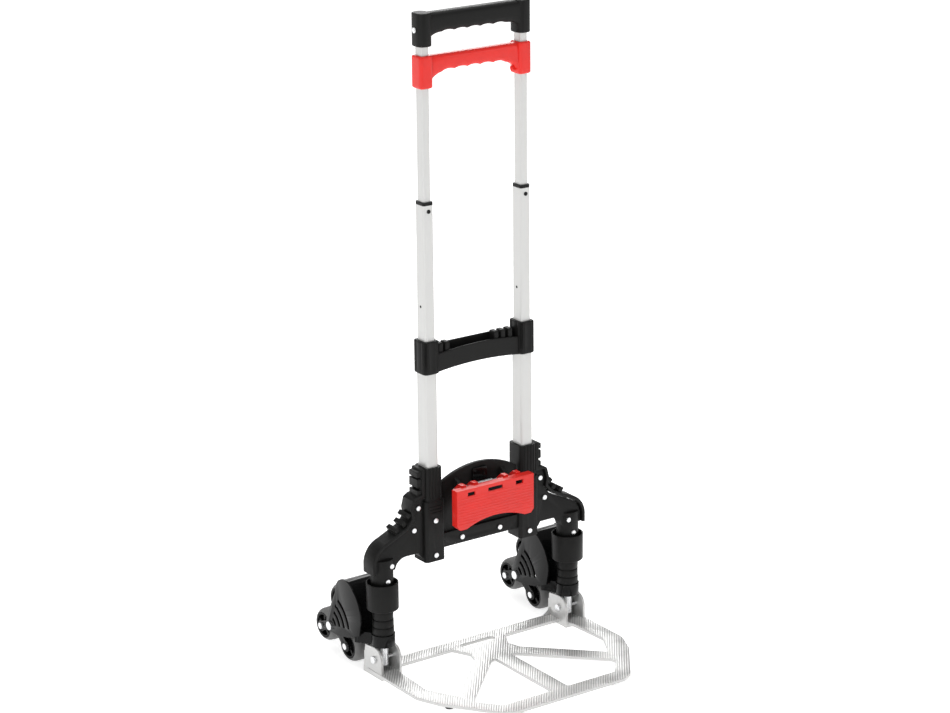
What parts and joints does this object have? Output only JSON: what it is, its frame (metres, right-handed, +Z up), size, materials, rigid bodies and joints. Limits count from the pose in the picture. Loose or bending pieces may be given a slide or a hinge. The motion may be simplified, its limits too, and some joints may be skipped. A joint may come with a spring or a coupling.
{
  "type": "hand truck",
  "caption": "Folding hand truck with telescopic handle, hinged toe plate and two three-wheel stair-climbing clusters on swinging carriers.",
  "frame": {"origin": "centre of the overall box, on the floor", "axes": "+X to the truck's own left-right axis (mirror axis), -Y towards the toe plate's front edge, +Z up"},
  "size_m": [0.4316, 0.4266, 1.0465],
  "materials": {
    "black": "fine-textured moulded black plastic",
    "gloss_black": "smooth black plastic",
    "red": "smooth red plastic",
    "tube": "satin anodised",
    "plate": "ribbed top, satin",
    "steel": "zinc plated",
    "hub": "moulded",
    "tyre": "grey rubber",
    "rubber": "dark rubber"
  },
  "bodies": {
    "base": {"base_frame": "black", "back_panel": "black", "left_guard": "black", "right_guard": "black", "left_collar": "black", "right_collar": "black", "left_step_sleeve": "black", "right_step_sleeve": "black", "left_post_shaft": "steel", "right_post_shaft": "steel", "post_rings": "steel", "left_outer_tube": "tube", "right_outer_tube": "tube", "clamp_bushes": "black", "mid_clamp": "black", "base_rivets": "steel", "catch_pin": "steel", "catch_spring": "steel"},
    "tab": {"release_tab": "gloss_black"},
    "catch": {"catch_cover": "red"},
    "mid_stage": {"left_mid_tube": "tube", "right_mid_tube": "tube", "mid_feet": "black", "mid_lips": "black", "mid_buttons": "steel"},
    "inner_stage": {"left_inner_tube": "tube", "right_inner_tube": "tube", "inner_feet": "black", "handle": "black", "handle_screws": "steel"},
    "trigger": {"release_grip": "red", "release_rods": "steel", "release_springs": "steel"},
    "pins": {"lock_pins": "steel"},
    "toe": {"toe_plate": "plate", "toe_feet": "rubber", "hinge_bolts": "steel"},
    "left_carrier": {"left_fender": "gloss_black", "left_axle": "steel"},
    "left_star": {"left_star_plates": "gloss_black", "left_star_hub": "hub", "left_wheel_pins": "steel"},
    "left_wheel_1": {"left_tyre_1": "tyre", "left_hub_1": "hub"},
    "left_wheel_2": {"left_tyre_2": "tyre", "left_hub_2": "hub"},
    "left_wheel_3": {"left_tyre_3": "tyre", "left_hub_3": "hub"},
    "right_carrier": {"right_fender": "gloss_black", "right_axle": "steel"},
    "right_star": {"right_star_plates": "gloss_black", "right_star_hub": "hub", "right_wheel_pins": "steel"},
    "right_wheel_1": {"right_tyre_1": "tyre", "right_hub_1": "hub"},
    "right_wheel_2": {"right_tyre_2": "tyre", "right_hub_2": "hub"},
    "right_wheel_3": {"right_tyre_3": "tyre", "right_hub_3": "hub"}
  },
  "joints": [
    {"name": "toe_fold", "type": "hinge", "parent": "base", "child": "toe", "pos_m": [0, 0.03873, 0.0295], "axis": [-1, 0, 0], "range_deg": [0, 86]},
    {"name": "mid_slide", "type": "slide", "parent": "base", "child": "mid_stage", "axis": [0, 0, -1], "range_m": [0, 0.195]},
    {"name": "inner_slide", "type": "slide", "parent": "mid_stage", "child": "inner_stage", "axis": [0, 0, -1], "range_m": [0, 0.17]},
    {"name": "trigger_lift", "type": "slide", "parent": "inner_stage", "child": "trigger", "axis": [0, 0, 1], "range_m": [0, 0.012], "stiffness_N_per_m": 500, "springref_m": -0.008, "deforming": ["release_springs"]},
    {"name": "pin_retract", "type": "slide", "parent": "inner_stage", "child": "pins", "axis": [0, 1, 0], "range_m": [0, 0.0024]},
    {"name": "tab_press", "type": "slide", "parent": "base", "child": "tab", "axis": [0, 0, -1], "range_m": [0, 0.004], "stiffness_N_per_m": 300, "springref_m": -0.004},
    {"name": "catch_swing", "type": "hinge", "parent": "base", "child": "catch", "pos_m": [0, 0.01673, 0.29], "axis": [-1, 0, 0], "range_deg": [0, 90]},
    {"name": "left_swing", "type": "hinge", "parent": "base", "child": "left_carrier", "pos_m": [-0.18, 0.04073, 0.06], "axis": [0, 0, -1], "range_deg": [0, 60]},
    {"name": "left_star_spin", "type": "hinge", "parent": "left_carrier", "child": "left_star", "pos_m": [-0.182, 0.14673, 0.054], "axis": [1, 0, 0], "continuous": true},
    {"name": "left_wheel_1_spin", "type": "hinge", "parent": "left_star", "child": "left_wheel_1", "pos_m": [-0.182, 0.11347, 0.02754], "axis": [1, 0, 0], "continuous": true},
    {"name": "left_wheel_2_spin", "type": "hinge", "parent": "left_star", "child": "left_wheel_2", "pos_m": [-0.182, 0.18627, 0.03842], "axis": [1, 0, 0], "continuous": true},
    {"name": "left_wheel_3_spin", "type": "hinge", "parent": "left_star", "child": "left_wheel_3", "pos_m": [-0.182, 0.14045, 0.09603], "axis": [1, 0, 0], "continuous": true},
    {"name": "right_swing", "type": "hinge", "parent": "base", "child": "right_carrier", "pos_m": [0.18, 0.04073, 0.06], "axis": [0, 0, 1], "range_deg": [0, 60]},
    {"name": "right_star_spin", "type": "hinge", "parent": "right_carrier", "child": "right_star", "pos_m": [0.182, 0.14673, 0.054], "axis": [1, 0, 0], "continuous": true},
    {"name": "right_wheel_1_spin", "type": "hinge", "parent": "right_star", "child": "right_wheel_1", "pos_m": [0.182, 0.11347, 0.02754], "axis": [1, 0, 0], "continuous": true},
    {"name": "right_wheel_2_spin", "type": "hinge", "parent": "right_star", "child": "right_wheel_2", "pos_m": [0.182, 0.18627, 0.03842], "axis": [1, 0, 0], "continuous": true},
    {"name": "right_wheel_3_spin", "type": "hinge", "parent": "right_star", "child": "right_wheel_3", "pos_m": [0.182, 0.14045, 0.09603], "axis": [1, 0, 0], "continuous": true}
  ],
  "couplings": [
    {"joint": "pin_retract", "follows": "trigger_lift", "ratio": 0.2},
    {"joint": "catch_swing", "follows": "toe_fold", "ratio": 1},
    {"joint": "left_swing", "follows": "toe_fold", "ratio": 0.69},
    {"joint": "right_swing", "follows": "toe_fold", "ratio": 0.69}
  ]
}
